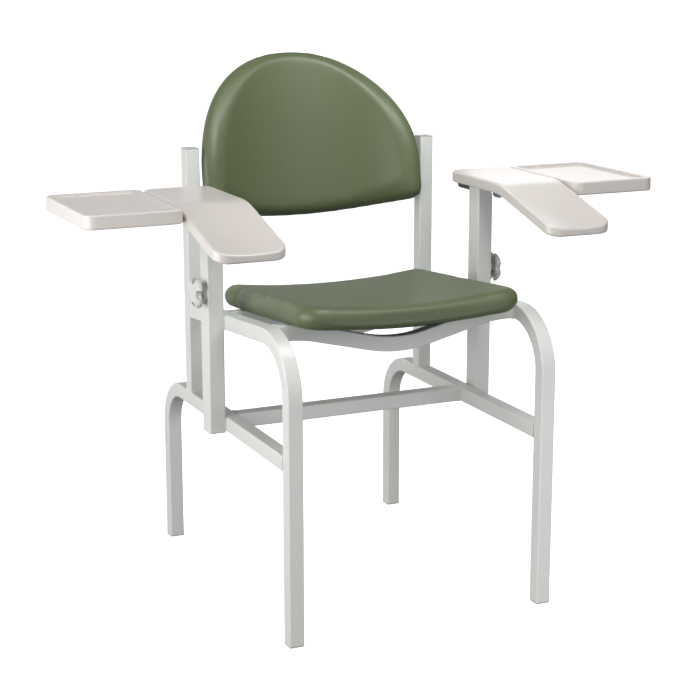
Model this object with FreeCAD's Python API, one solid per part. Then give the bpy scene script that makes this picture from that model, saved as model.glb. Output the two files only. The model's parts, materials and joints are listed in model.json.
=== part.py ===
import FreeCAD, Part
import math
import os

# Phlebotomy chair: bent square tube frame, dished seat, wrapped backrest, two arms with trays
# on telescopic columns that are clamped by star knobs.
# Millimetres. X runs across the chair towards the sitter's left, Y from the front to the
# backrest, Z up. The origin is on the floor at the middle of the four legs.

V = FreeCAD.Vector

# Side frames of bent tube
frame_width = 522.0
frame_depth = 662.0
tube_size = 28.0
tube_wall = 1.5
tube_corner = 3.0
front_bend_radius = 97.5
rear_bend_radius = 85.0
seat_rail_level = 531.8
seat_rail_pitch = 4.6
lower_rail_top = 342.0
upright_front = 162.0
upright_top = 815.0

# Crossbars
lower_bar_front = -20.0
front_bar_place = -221.5
rear_bar_place = 0.0
bar_stub = 15.0
bar_bend_share = 1.1364
bar_drop = 38.2

# End plugs of legs and uprights
leg_plug_head = 3.0
upright_cap_head = 2.0
column_cap_head = 2.0
plug_spigot = 16.0
plug_fit = 0.15
plug_edge = 1.0

# Arm columns and posts
column_x_size = 31.0
column_y_size = 40.0
column_wall = 2.0
column_corner = 3.0
column_middle_y = -11.0
column_top = 734.0
column_top_round = 20.0
post_fit = 0.5
post_wall = 1.5
post_corner = 2.0
post_foot_gap = 13.0
shoe_fit = 0.1
shoe_height = 5.0
rest_gap = 0.3

# Arm bracket
bracket_width = 15.0
bracket_sheet = 2.5
bracket_rear = 70.0
bracket_depth = 12.5
bracket_end_round = 8.0
bracket_bend_gap = 0.5
bracket_front_gap = 40.0
bracket_rear_gap = 5.0
bracket_screw_inset = 13.0

# Arm supports
arm_overlap = 12.0
arm_width = 131.0
arm_front = -319.0
arm_rear = 75.0
arm_thickness = 21.0
arm_corner = 27.0
arm_edge = 4.0
arm_bend_place = -128.0
arm_bend_radius = 184.0
arm_slope = 15.5
arm_dip = 7.0
arm_row_count = 33
arm_column_count = 9

# Trays
tray_seam = 2.0
tray_width = 176.5
tray_front = -182.0
tray_rear = 77.0
tray_thickness = 25.0
tray_corner = 20.0
tray_edge = 3.0
tray_rim = 13.0
tray_recess = 4.5
tray_recess_corner = 10.0
tray_recess_foot = 2.0
tray_lip_edge = 1.0

# Straps that carry the trays
strap_front_place = -88.0
strap_rear_place = 42.0
strap_width = 22.0
strap_sheet = 3.0
strap_bracket_gap = 19.0
strap_tray_reach = 91.0
strap_end_round = 5.0
strap_screw_inset = 12.0
strap_seam_inset = 22.0
pocket_fit = 0.3

# Small screws
screw_radius = 2.0
screw_head_radius = 4.0
screw_head_height = 2.4
screw_grip = 9.0
screw_socket_across = 2.4
screw_socket_depth = 1.4
screw_fit = 0.1
hole_fit = 0.4

# Arm clamps
clamp_level = 576.0
boss_radius = 8.5
boss_length = 8.0
boss_plate_width = 23.0
boss_plate_height = 40.0
boss_plate_sheet = 4.5
boss_plate_corner = 9.0
stud_radius = 4.0
stud_fit = 0.05
wall_hole_fit = 0.5
pad_radius = 2.8
pad_length = 5.0
pad_gap = 0.05
pad_nose = 1.2
knob_radius = 28.5
knob_thickness = 10.5
knob_rim = 3.5
knob_face_radius = 15.0
knob_lobes = 4
knob_notch_radius = 8.5
knob_notch_depth = 12.0
knob_edge = 1.0
knob_hollow_radius = 14.0
knob_hollow_depth = 4.5
knob_hub_radius = 8.5
knob_hub_stand = 1.5
knob_hub_gap = 1.5
stud_engagement = 8.5

# Seat cushion and board, in the plane of the seat rails
seat_side_gap = 18.0
seat_front = -305.0
seat_rear = 114.0
seat_edge_radius = 21.5
seat_edge_level = 16.0
seat_sag = 9.5
seat_dish = 12.5
seat_front_corner = 50.0
seat_rear_corner = 35.0
seat_end_reach = 16.0
board_thickness = 10.0
board_sag = 14.5
board_side_inset = 30.0
board_end_inset = 26.0
board_corner = 30.0
soft_gap = 0.3
spacer_radius = 8.0
seat_screw_radius = 2.8
seat_screw_head_radius = 5.5
seat_screw_head_height = 3.2
seat_screw_bite = 6.5

# Backrest, in a frame that leans back with it
back_recline = 9.0
back_end_place = 158.5
back_pivot_level = 750.0
back_wrap = 49.91
back_side_gap = 4.7
back_edge_radius = 22.5
back_spring_level = 12.9
back_top = 248.2
back_bottom = -76.2
back_bottom_rise = 17.0
back_corner = 25.0
back_dome_power = 2.1
back_board_side = 22.0
back_board_top = 26.0
back_board_bottom = 26.0
tab_sheet = 3.0
tab_height = 40.0
tab_level = -35.0
tab_turn = 38.0
tab_lap = 16.0
tab_screw_spacing = 20.0
tab_screw_inset = 8.0
tab_screw_bite = 7.0

# How far cutting bodies reach past what they cut, and how near a point counts as on an outline
overrun = 5.0
on_outline = 0.06
level_share = 0.99

# Cushion sections: the turn at which a side's round meets the faces, and where slices lie
side_turn = 76.0
side_half_share = 0.7071
narrow_share = 0.8
end_shares = (0.03, 0.10, 0.22, 0.38, 0.58, 0.80, 1.0)
dome_shares = (0.0, 0.15, 0.30, 0.45, 0.58, 0.70, 0.80, 0.90)
slope_step = 0.05

X = V(1, 0, 0)
Y = V(0, 1, 0)
Z = V(0, 0, 1)

half_width = frame_width / 2
inner_face = half_width - tube_size
half_depth = frame_depth / 2
rail_pitch = math.radians(seat_rail_pitch)
column_middle_x = half_width + column_x_size / 2
column_outer = half_width + column_x_size
column_bottom = lower_rail_top - tube_size
post_bottom = column_bottom + plug_spigot + post_foot_gap
post_x_size = column_x_size - 2 * column_wall - 2 * post_fit
post_y_size = column_y_size - 2 * column_wall - 2 * post_fit
post_outer = column_middle_x + post_x_size / 2
web_bottom = column_top + rest_gap
arm_bottom = web_bottom + bracket_sheet
arm_top = arm_bottom + arm_thickness
arm_inner = half_width - arm_overlap
arm_outer = arm_inner + arm_width
arm_bend_start = arm_bend_place + arm_bend_radius * math.tan(math.radians(arm_slope) / 2)
bracket_front = arm_bend_start + bracket_bend_gap
tray_inner = arm_outer + tray_seam
strap_inner = column_middle_x + bracket_width / 2 + strap_bracket_gap
strap_outer = tray_inner + strap_tray_reach
seat_half_width = inner_face - seat_side_gap
seat_placement = FreeCAD.Placement(V(0, 0, seat_rail_level), FreeCAD.Rotation(X, -seat_rail_pitch))
back_placement = FreeCAD.Placement(
    V(0, back_end_place, back_pivot_level), FreeCAD.Rotation(X, -back_recline))
back_half_width = inner_face - back_side_gap
back_end_middle = back_half_width - back_edge_radius
back_bend_radius = back_end_middle / math.sin(math.radians(back_wrap))
back_centre = -back_bend_radius * math.cos(math.radians(back_wrap))
back_skin_radius = back_bend_radius + back_edge_radius


# Outlines and simple solids

def rounded_outline(centre, u, v, width, height, radius):
    turns = [u, v, u * -1, v * -1]
    signs = [(1, 1), (-1, 1), (-1, -1), (1, -1)]
    corners = []
    for k, (su, sv) in enumerate(signs):
        middle = centre + u * (su * (width / 2 - radius)) + v * (sv * (height / 2 - radius))
        first = turns[k]
        second = turns[(k + 1) % 4]
        half = (first + second).normalize()
        corners.append((middle + first * radius, middle + half * radius, middle + second * radius))
    edges = []
    for k, (start, half, end) in enumerate(corners):
        edges.append(Part.Arc(start, half, end).toShape())
        edges.append(Part.makeLine(end, corners[(k + 1) % 4][0]))
    return Part.Wire(edges)


def box_between(x0, x1, y0, y1, z0, z1):
    return Part.makeBox(x1 - x0, y1 - y0, z1 - z0, V(x0, y0, z0))


def plan_block(x0, x1, y0, y1, z0, z1, radius):
    centre = V((x0 + x1) / 2, (y0 + y1) / 2, z0)
    outline = rounded_outline(centre, X, Y, x1 - x0, y1 - y0, radius)
    return Part.Face(outline).extrude(Z * (z1 - z0))


def rod(radius, start, end):
    return Part.makeCylinder(radius, (end - start).Length, start, end - start)


def swept(path, profile, binormal):
    maker = Part.BRepOffsetAPI.MakePipeShell(Part.Wire(path))
    maker.setBiNormalMode(binormal)
    maker.add(profile)
    maker.build()
    maker.makeSolid()
    return maker.shape()


def swept_tube(path, start, u, v, binormal):
    outer = swept(path, rounded_outline(start, u, v, tube_size, tube_size, tube_corner), binormal)
    bore = tube_size - 2 * tube_wall
    inner = swept(path, rounded_outline(start, u, v, bore, bore, tube_corner - tube_wall), binormal)
    return outer.cut(inner)


def straight_tube(start, end, u, v, width, height, corner, wall):
    run = end - start
    outer = Part.Face(rounded_outline(start, u, v, width, height, corner)).extrude(run)
    inner_outline = rounded_outline(start, u, v, width - 2 * wall, height - 2 * wall, corner - wall)
    return outer.cut(Part.Face(inner_outline).extrude(run))


def edges_on_outline(shape, outline, level):
    chosen = []
    for edge in shape.Edges:
        middle = edge.valueAt((edge.FirstParameter + edge.LastParameter) / 2)
        tangent = edge.tangentAt((edge.FirstParameter + edge.LastParameter) / 2)
        if abs(tangent.z) > level_share:
            continue
        flat = Part.Vertex(V(middle.x, middle.y, level))
        if flat.distToShape(outline)[0] < on_outline:
            chosen.append(edge)
    return chosen


def mirrored(shape):
    return shape.mirror(V(0, 0, 0), X)


def moved(shape, placement):
    result = shape.copy()
    result.Placement = placement.multiply(shape.Placement)
    return result


# Screws, drawn with the head below the origin and the shank along +Z

def screw(radius, length, head_radius, head_height, socket_across, socket_depth):
    body = Part.makeCylinder(radius, length)
    head = Part.makeCylinder(head_radius, head_height, V(0, 0, -head_height))
    rim = [e for e in head.Edges if abs(e.BoundBox.ZMax + head_height) < screw_fit]
    head = head.makeFillet(head_height / 3, rim)
    corners = []
    for k in range(7):
        turn = math.pi / 3 * k
        reach = socket_across / 2 / math.cos(math.pi / 6)
        corners.append(V(reach * math.cos(turn), reach * math.sin(turn), -head_height))
    socket = Part.Face(Part.makePolygon(corners)).extrude(Z * socket_depth)
    return body.fuse(head).removeSplitter().cut(socket)


def small_screw(length):
    return screw(screw_radius, length, screw_head_radius, screw_head_height,
                 screw_socket_across, screw_socket_depth)


def aimed(shape, base, direction):
    return moved(shape, FreeCAD.Placement(base, FreeCAD.Rotation(Z, direction)))


# Side frames, left side; the right side is the mirror image

def front_leg_seat_rail():
    mid_x = half_width - tube_size / 2
    mid_y = -half_depth + tube_size / 2
    centre_y = mid_y + front_bend_radius
    reach = front_bend_radius + tube_size / 2
    centre_z = seat_rail_level - reach / math.cos(rail_pitch) - centre_y * math.tan(rail_pitch)
    bottom = V(mid_x, mid_y, leg_plug_head)
    tangent = V(mid_x, mid_y, centre_z)
    half_turn = (math.pi / 2 + rail_pitch) / 2
    centre = V(mid_x, centre_y, centre_z)
    crown = centre + V(0, -math.cos(half_turn), math.sin(half_turn)) * front_bend_radius
    over = centre + V(0, math.sin(rail_pitch), math.cos(rail_pitch)) * front_bend_radius
    run = (upright_front + tube_size - over.y) / math.cos(rail_pitch)
    end = over + V(0, math.cos(rail_pitch), -math.sin(rail_pitch)) * run
    path = [Part.makeLine(bottom, tangent), Part.Arc(tangent, crown, over).toShape(),
            Part.makeLine(over, end)]
    tube = swept_tube(path, bottom, X, Y, X)
    behind = box_between(inner_face - overrun, half_width + overrun,
                         upright_front, half_depth, lower_rail_top, upright_top)
    return tube.cut(behind)


def rear_leg_lower_rail():
    mid_x = half_width - tube_size / 2
    mid_y = half_depth - tube_size / 2
    mid_z = lower_rail_top - tube_size / 2
    centre = V(mid_x, mid_y - rear_bend_radius, mid_z - rear_bend_radius)
    bottom = V(mid_x, mid_y, leg_plug_head)
    tangent = V(mid_x, mid_y, centre.z)
    half_turn = math.pi / 4
    crown = centre + V(0, math.cos(half_turn), math.sin(half_turn)) * rear_bend_radius
    over = V(mid_x, centre.y, mid_z)
    end = V(mid_x, -half_depth + tube_size, mid_z)
    path = [Part.makeLine(bottom, tangent), Part.Arc(tangent, crown, over).toShape(),
            Part.makeLine(over, end)]
    return swept_tube(path, bottom, X, Y, X)


def back_upright():
    mid = V(half_width - tube_size / 2, upright_front + tube_size / 2, lower_rail_top)
    top = V(mid.x, mid.y, upright_top - upright_cap_head)
    return straight_tube(mid, top, X, Y, tube_size, tube_size, tube_corner, tube_wall)


def tube_plug(middle, x_size, y_size, corner, wall, head, upward):
    # A plug closes a tube: its head covers the tube's end and its spigot goes inside.
    side = 1 if upward else -1
    head_block = Part.Face(rounded_outline(middle, X, Y, x_size, y_size, corner)).extrude(
        Z * (-side * head))
    outer_level = middle.z - side * head
    rim = [e for e in head_block.Edges if abs(e.BoundBox.ZMin - outer_level) < plug_fit
           and abs(e.BoundBox.ZMax - outer_level) < plug_fit]
    head_block = head_block.makeFillet(plug_edge, rim)
    spigot_x = x_size - 2 * wall - 2 * plug_fit
    spigot_y = y_size - 2 * wall - 2 * plug_fit
    outline = rounded_outline(middle, X, Y, spigot_x, spigot_y, corner - wall)
    spigot = Part.Face(outline).extrude(Z * (side * plug_spigot))
    hollow_outline = rounded_outline(middle, X, Y, spigot_x - 2 * wall, spigot_y - 2 * wall,
                                     (corner - wall) / 2)
    hollow = Part.Face(hollow_outline).extrude(Z * (side * (plug_spigot + overrun)))
    return head_block.fuse(spigot.cut(hollow)).removeSplitter()


def leg_end_plugs():
    plugs = []
    for sx in (1, -1):
        for sy in (1, -1):
            middle = V(sx * (half_width - tube_size / 2), sy * (half_depth - tube_size / 2),
                       leg_plug_head)
            plugs.append(tube_plug(middle, tube_size, tube_size, tube_corner, tube_wall,
                                   leg_plug_head, True))
    return Part.Compound(plugs)


def upright_caps():
    caps = []
    for sx in (1, -1):
        middle = V(sx * (half_width - tube_size / 2), upright_front + tube_size / 2,
                   upright_top - upright_cap_head)
        caps.append(tube_plug(middle, tube_size, tube_size, tube_corner, tube_wall,
                              upright_cap_head, False))
    return Part.Compound(caps)


# Crossbars

def lower_crossbar():
    mid = V(-inner_face, lower_bar_front + tube_size / 2, lower_rail_top - tube_size / 2)
    end = V(inner_face, mid.y, mid.z)
    return straight_tube(mid, end, Y, Z, tube_size, tube_size, tube_corner, tube_wall)


def bar_shape():
    # Where the dipped crossbar starts to bend, its bend radius, and the slope that gives the drop.
    bend_start = inner_face - bar_stub
    radius = bend_start * bar_bend_share
    short = 2 * radius - bar_drop
    slope = math.atan2(bend_start, short) - math.acos(2 * radius / math.hypot(bend_start, short))
    return bend_start, radius, slope


def bar_points():
    # Points of the dipped crossbar's middle line, from its end to the middle of the chair.
    bend_start, radius, slope = bar_shape()
    level = -tube_size / 2
    rise = radius * (1 - math.cos(slope))
    sweep_run = radius * math.sin(slope)
    straight_run = bend_start - 2 * sweep_run
    lowest = level - 2 * rise - straight_run * math.tan(slope)
    return {
        "end": (inner_face, level),
        "bend": (bend_start, level),
        "bend_half": (bend_start - radius * math.sin(slope / 2),
                      level - radius * (1 - math.cos(slope / 2))),
        "slope_top": (bend_start - sweep_run, level - rise),
        "slope_foot": (sweep_run, lowest + rise),
        "lowest": (0, lowest),
    }


def dipped_bar(front, solid_only=False, grow=0):
    points = bar_points()
    mid_y = front + tube_size / 2

    def at(name, side):
        x, z = points[name]
        return V(side * x, mid_y, z)

    path = [
        Part.makeLine(at("end", -1), at("bend", -1)),
        Part.Arc(at("bend", -1), at("bend_half", -1), at("slope_top", -1)).toShape(),
        Part.makeLine(at("slope_top", -1), at("slope_foot", -1)),
        Part.Arc(at("slope_foot", -1), at("lowest", 1), at("slope_foot", 1)).toShape(),
        Part.makeLine(at("slope_foot", 1), at("slope_top", 1)),
        Part.Arc(at("slope_top", 1), at("bend_half", 1), at("bend", 1)).toShape(),
        Part.makeLine(at("bend", 1), at("end", 1)),
    ]
    if solid_only:
        size = tube_size + 2 * grow
        return swept(path, rounded_outline(at("end", -1), Y, Z, size, size, tube_corner), Y)
    return swept_tube(path, at("end", -1), Y, Z, Y)


def bar_screw_places(front):
    # Each screw stands square on the slope of its bar, its head on the inside of the tube's top wall.
    points = bar_points()
    slope = bar_shape()[2]
    x = (points["slope_top"][0] + points["slope_foot"][0]) / 2
    z = (points["slope_top"][1] + points["slope_foot"][1]) / 2
    places = []
    for side in (1, -1):
        direction = V(-side * math.sin(slope), 0, math.cos(slope))
        middle = V(side * x, front + tube_size / 2, z)
        places.append((middle + direction * (tube_size / 2 - tube_wall), direction))
    return places


def seat_screw_places():
    return bar_screw_places(front_bar_place) + bar_screw_places(rear_bar_place)


def seat_crossbar(front):
    bar = dipped_bar(front)
    for base, direction in bar_screw_places(front):
        bar = bar.cut(rod(seat_screw_radius + hole_fit, base, base + direction * (tube_wall + overrun)))
        bar = bar.cut(rod(seat_screw_head_radius + hole_fit, base - direction * (tube_size + overrun),
                          base - direction * (tube_size / 2)))
    return moved(bar, seat_placement)


# Seat board, cushion and fixings

def seat_underside():
    # Radius of the board's underside across the chair and the height of its lowest line.
    chord = seat_half_width - seat_edge_radius
    radius = (chord ** 2 + board_sag ** 2) / (2 * board_sag)
    lowest = seat_edge_level - seat_edge_radius - seat_sag
    return radius, lowest


def seat_board_local(grow, below):
    radius, lowest = seat_underside()
    y0 = seat_front + board_end_inset - grow
    y1 = seat_rear - board_end_inset + grow
    x1 = seat_half_width - board_side_inset + grow
    axis_start = V(0, y0, lowest + radius)
    ring = rod(radius + below, axis_start, axis_start + Y * (y1 - y0))
    ring = ring.cut(rod(radius - board_thickness - grow, axis_start - Y * overrun,
                        axis_start + Y * (y1 - y0 + overrun)))
    reach = board_thickness + board_sag + below + overrun
    plan = plan_block(-x1, x1, y0, y1, lowest - reach, lowest + reach, board_corner)
    return ring.common(plan)


def seat_screw_length():
    radius, lowest = seat_underside()
    base, direction = bar_screw_places(rear_bar_place)[0]
    top = base + direction * tube_wall
    # Where the screw's line meets the underside of the board, which is a circle across the chair.
    to_axis = V(0, 0, lowest + radius) - V(top.x, 0, top.z)
    along = to_axis.dot(direction)
    across = to_axis.Length ** 2 - along ** 2
    gap = along - math.sqrt(radius ** 2 - across)
    return tube_wall + gap + seat_screw_bite


def seat_board():
    board = seat_board_local(0, 0)
    length = seat_screw_length()
    for base, direction in seat_screw_places():
        board = board.cut(rod(seat_screw_radius + screw_fit, base,
                              base + direction * (length + screw_fit)))
    return moved(board, seat_placement)


def seat_spacers():
    board = seat_board_local(0, 0)
    pieces = []
    for front in (front_bar_place, rear_bar_place):
        bar = dipped_bar(front, True)
        for base, direction in bar_screw_places(front):
            end = base + direction * (tube_wall + board_sag + board_thickness)
            piece = rod(spacer_radius, base, end).cut(bar).cut(board)
            piece = piece.cut(rod(seat_screw_radius + hole_fit, base, end))
            lowest = min(piece.Solids, key=lambda s: s.CenterOfMass.z)
            pieces.append(moved(lowest, seat_placement))
    return Part.Compound(pieces)


def seat_screws():
    length = seat_screw_length()
    pieces = []
    for base, direction in seat_screw_places():
        piece = screw(seat_screw_radius, length, seat_screw_head_radius, seat_screw_head_height,
                      seat_screw_radius, seat_screw_head_height / 2)
        pieces.append(moved(aimed(piece, base, direction), seat_placement))
    return Part.Compound(pieces)


def seat_section(y, half, swell):
    # One slice across the seat: dished top, rounded sides under a half turn, sagging underside.
    radius = seat_edge_radius * swell
    middle = half - seat_edge_radius
    turn = math.radians(side_turn)
    dx = radius * math.cos(turn)
    dz = radius * math.sin(turn)
    level = seat_edge_level
    top = level + radius - seat_dish
    bottom = level - radius - seat_sag
    right_top = V(middle + dx, y, level + dz)
    right_bottom = V(middle + dx, y, level - dz)
    left_top = V(-middle - dx, y, level + dz)
    left_bottom = V(-middle - dx, y, level - dz)
    edges = [
        Part.Arc(left_top, V(0, y, top), right_top).toShape(),
        Part.Arc(right_top, V(middle + radius, y, level), right_bottom).toShape(),
        Part.Arc(right_bottom, V(0, y, bottom), left_bottom).toShape(),
        Part.Arc(left_bottom, V(-middle - radius, y, level), left_top).toShape(),
    ]
    return Part.Wire(edges)


def rim_swell(depth, reach):
    # Share of the full half thickness at a depth inside a rim that rounds off within the reach.
    left = 1 - min(depth / reach, 1)
    return math.sqrt(1 - left * left)


def seat_slice_list():
    # Slices gather towards the ends, where the plan corners and the rounded rim draw them in.
    slices = []
    for share in end_shares:
        for place, way, corner in ((seat_front, 1, seat_front_corner),
                                   (seat_rear, -1, seat_rear_corner)):
            run = corner * share
            drawn = corner - math.sqrt(corner ** 2 - (corner - run) ** 2)
            slices.append((place + way * run, seat_half_width - drawn,
                           rim_swell(run, seat_end_reach)))
    return sorted(slices)


def seat_cushion():
    sections = [seat_section(y, half, swell) for y, half, swell in seat_slice_list()]
    cushion = Part.makeLoft(sections, True, True)
    cushion = cushion.cut(seat_board_local(soft_gap, overrun))
    for front in (front_bar_place, rear_bar_place):
        cushion = cushion.cut(dipped_bar(front, True, soft_gap))
    return moved(cushion, seat_placement)


# Backrest

def back_half_outline(z):
    # Half width of the backrest's outline at a height in the leaning frame.
    if z >= back_spring_level:
        rise = (z - back_spring_level) / (back_top - back_spring_level)
        return back_half_width * max(1 - rise ** back_dome_power, 0) ** (1 / back_dome_power)
    corner_foot = back_bottom + back_bottom_rise
    if z >= corner_foot + back_corner:
        return back_half_width
    flat = back_half_width - back_corner
    if z > corner_foot:
        lift = corner_foot + back_corner - z
        return flat + math.sqrt(back_corner ** 2 - lift ** 2)
    return flat * math.sqrt(max(z - back_bottom, 0) / back_bottom_rise)


def back_point(along, out, z):
    # A point at a distance along the bent sheet from its middle and at a distance off the sheet.
    turn = along / back_bend_radius
    reach = back_bend_radius + out
    return V(reach * math.sin(turn), back_centre + reach * math.cos(turn), z)


def back_section(z, half, radius, run_in):
    # One slice of the wrapped backrest: even in the middle and thinning to a round tip each side.
    rim = min(back_edge_radius, half)
    tip = back_bend_radius * math.asin((half - rim) / back_bend_radius) + rim
    full = tip - run_in
    half_way = full + run_in * side_half_share
    half_out = radius * side_half_share
    edges = []
    for side in (1, -1):
        thin = back_point(side * tip, 0, z)
        back = back_point(side * full, radius, z)
        front = back_point(side * full, -radius, z)
        back_half = back_point(side * half_way, half_out, z)
        front_half = back_point(side * half_way, -half_out, z)
        other_back = back_point(-full, radius, z)
        other_front = back_point(-full, -radius, z)
        if side == 1:
            edges.append(Part.Arc(other_back, back_point(0, radius, z), back).toShape())
            edges.append(Part.Arc(back, back_half, thin).toShape())
            edges.append(Part.Arc(thin, front_half, front).toShape())
            edges.append(Part.Arc(front, back_point(0, -radius, z), other_front).toShape())
        else:
            edges.append(Part.Arc(front, front_half, thin).toShape())
            edges.append(Part.Arc(thin, back_half, back).toShape())
    return Part.Wire(edges)


def back_levels():
    corner_top = back_bottom + back_bottom_rise + back_corner
    levels = []
    for share in end_shares:
        levels.append(back_bottom + share * (corner_top - back_bottom))
        levels.append(back_top - share * 2 * back_edge_radius)
    dome_foot = back_top - 2 * back_edge_radius
    for share in dome_shares:
        levels.append(back_spring_level + share * (dome_foot - back_spring_level))
    return sorted(levels)


def back_slice_list():
    # The rim's run-in is longer where the outline slopes, as a level cut through a round edge is.
    slices = []
    for z in back_levels():
        depth = min(z - back_bottom, back_top - z)
        radius = back_edge_radius * rim_swell(depth, back_edge_radius)
        half = back_half_outline(z)
        lean = (back_half_outline(z + slope_step) - back_half_outline(z - slope_step)) / 2
        run_in = back_edge_radius * math.hypot(lean / slope_step, 1)
        slices.append((z, half, radius, min(run_in, half * narrow_share)))
    return slices


def back_board_local(grow, behind):
    half = back_end_middle - back_board_side / 2 + grow
    top = back_top - back_board_top + grow
    low = back_bottom + back_board_bottom - grow
    spring = back_spring_level
    axis_start = V(0, back_centre, low - overrun)
    tall = top - low + 2 * overrun
    ring = rod(back_skin_radius + behind, axis_start, axis_start + Z * tall)
    ring = ring.cut(rod(back_skin_radius - board_thickness - grow, axis_start - Z * overrun,
                        axis_start + Z * (tall + overrun)))
    # An ellipse is made from the end of its longer half first.
    ends = [V(0, 0, top), V(half, 0, spring)]
    if top - spring < half:
        ends.reverse()
    arch = Part.Ellipse(ends[0], ends[1], V(0, 0, spring)).toShape()
    arch_face = Part.Face(Part.Wire([arch]))
    lower = Part.Face(rounded_outline(V(0, 0, (low + spring) / 2), X, Z, 2 * half, spring - low,
                                      back_corner))
    filler = Part.Face(Part.makePolygon([
        V(-half, 0, spring), V(half, 0, spring), V(half, 0, spring - back_corner),
        V(-half, 0, spring - back_corner), V(-half, 0, spring)]))
    reach = back_bend_radius * 2
    shapes = [f.extrude(Y * reach) for f in (arch_face, lower, filler)]
    plan = shapes[0].fuse(shapes[1]).fuse(shapes[2])
    return ring.common(plan)


def tab_places():
    # Where a tab's face touches the board's back, its way out to the upright and its normal.
    turn = math.radians(tab_turn)
    touch = V(back_skin_radius * math.sin(turn), back_centre + back_skin_radius * math.cos(turn),
              tab_level)
    outward = V(math.cos(turn), -math.sin(turn), 0)
    normal = V(math.sin(turn), math.cos(turn), 0)
    return touch, outward, normal


def back_tab_local():
    touch, outward, normal = tab_places()
    inner = touch - outward * tab_lap
    run = (inner_face - touch.x) / outward.x
    outer = touch + outward * run
    outer_back = outer + Y * (tab_sheet / normal.y)
    base = V(0, 0, -tab_height / 2)
    points = [inner, outer, outer_back, inner + normal * tab_sheet, inner]
    tab = Part.Face(Part.makePolygon([p + base for p in points])).extrude(Z * tab_height)
    for base_point, direction in tab_screw_places():
        tab = tab.cut(rod(screw_radius + hole_fit, base_point - direction * overrun,
                          base_point + direction * (tab_sheet + overrun)))
    return tab


def tab_screw_places():
    touch, outward, normal = tab_places()
    places = []
    for side in (1, -1):
        base = touch - outward * tab_screw_inset + normal * tab_sheet
        places.append((base + Z * (side * tab_screw_spacing / 2), normal * -1))
    return places


def back_board():
    board = back_board_local(0, 0)
    for base, direction in tab_screw_places():
        hole = rod(screw_radius + screw_fit, base,
                   base + direction * (tab_sheet + tab_screw_bite + screw_fit))
        board = board.cut(hole).cut(mirrored(hole))
    return moved(board, back_placement)


def back_tabs():
    tab = back_tab_local()
    return Part.Compound([moved(tab, back_placement), moved(mirrored(tab), back_placement)])


def back_screws():
    pieces = []
    for base, direction in tab_screw_places():
        piece = aimed(small_screw(tab_sheet + tab_screw_bite), base, direction)
        pieces.append(moved(piece, back_placement))
        pieces.append(moved(mirrored(piece), back_placement))
    return Part.Compound(pieces)


def back_cushion():
    sections = [back_section(*entry) for entry in back_slice_list()]
    cushion = Part.makeLoft(sections, True, True)
    cushion = cushion.cut(back_board_local(soft_gap, overrun))
    return moved(cushion, back_placement)


# Arm columns, posts and brackets, left side

def arm_column():
    middle = V(column_middle_x, column_middle_y, column_bottom)
    tube = straight_tube(middle, middle + Z * (column_top - column_bottom), X, Y,
                         column_x_size, column_y_size, column_corner, column_wall)
    y0 = column_middle_y - column_y_size / 2 - overrun
    y1 = column_middle_y + column_y_size / 2 + overrun
    x0 = column_outer - column_top_round
    z0 = column_top - column_top_round
    corner = box_between(x0, column_outer + overrun, y0, y1, z0, column_top + overrun)
    corner = corner.cut(rod(column_top_round, V(x0, y0 - overrun, z0), V(x0, y1 + overrun, z0)))
    tube = tube.cut(corner)
    hole_axis = V(post_outer, column_middle_y, clamp_level)
    return tube.cut(rod(stud_radius + wall_hole_fit, hole_axis, hole_axis + X * column_x_size))


def column_cap():
    middle = V(column_middle_x, column_middle_y, column_bottom)
    return tube_plug(middle, column_x_size, column_y_size, column_corner, column_wall,
                     column_cap_head, True)


def arm_post():
    middle = V(column_middle_x, column_middle_y, post_bottom)
    return straight_tube(middle, middle + Z * (web_bottom - post_bottom), X, Y,
                         post_x_size, post_y_size, post_corner, post_wall)


def post_shoe():
    # The shoe guides the post's foot: its head nearly fills the column's bore.
    middle = V(column_middle_x, column_middle_y, post_bottom)
    head_x = column_x_size - 2 * column_wall - 2 * shoe_fit
    head_y = column_y_size - 2 * column_wall - 2 * shoe_fit
    head = Part.Face(rounded_outline(middle, X, Y, head_x, head_y, post_corner)).extrude(
        Z * -shoe_height)
    spigot_x = post_x_size - 2 * post_wall - 2 * plug_fit
    spigot_y = post_y_size - 2 * post_wall - 2 * plug_fit
    outline = rounded_outline(middle, X, Y, spigot_x, spigot_y, post_corner - post_wall)
    spigot = Part.Face(outline).extrude(Z * plug_spigot)
    return head.fuse(spigot).removeSplitter()


def bracket_screw_places():
    places = []
    for y in (bracket_front + bracket_screw_inset, bracket_rear - bracket_screw_inset):
        places.append(V(column_middle_x, y, web_bottom))
    return places


def arm_bracket():
    x0 = column_middle_x - bracket_width / 2
    x1 = column_middle_x + bracket_width / 2
    top = web_bottom + bracket_sheet
    low = top - bracket_depth
    web = box_between(x0, x1, bracket_front, bracket_rear, web_bottom, top)
    notch_front = column_middle_y - column_y_size / 2 - bracket_front_gap
    notch_rear = column_middle_y + column_y_size / 2 + bracket_rear_gap
    bracket = web
    for y0, y1 in ((bracket_front, notch_front), (notch_rear, bracket_rear)):
        for x in (x0, x1 - bracket_sheet):
            start = V(x, (y0 + y1) / 2, (low + top + bracket_end_round) / 2)
            outline = rounded_outline(start, Y, Z, y1 - y0, top + bracket_end_round - low,
                                      bracket_end_round)
            flange = Part.Face(outline).extrude(X * bracket_sheet)
            above = box_between(x0 - overrun, x1 + overrun, y0 - overrun, y1 + overrun,
                                top, top + bracket_depth + bracket_end_round)
            bracket = bracket.fuse(flange.cut(above))
    for place in bracket_screw_places():
        bracket = bracket.cut(rod(screw_radius + hole_fit, place - Z * overrun,
                                  place + Z * (bracket_sheet + overrun)))
    return bracket.removeSplitter()


def bracket_screws():
    pieces = []
    for place in bracket_screw_places():
        pieces.append(aimed(small_screw(bracket_sheet + screw_grip), place, Z))
    return Part.Compound(pieces)


# Arm supports, left side

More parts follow.
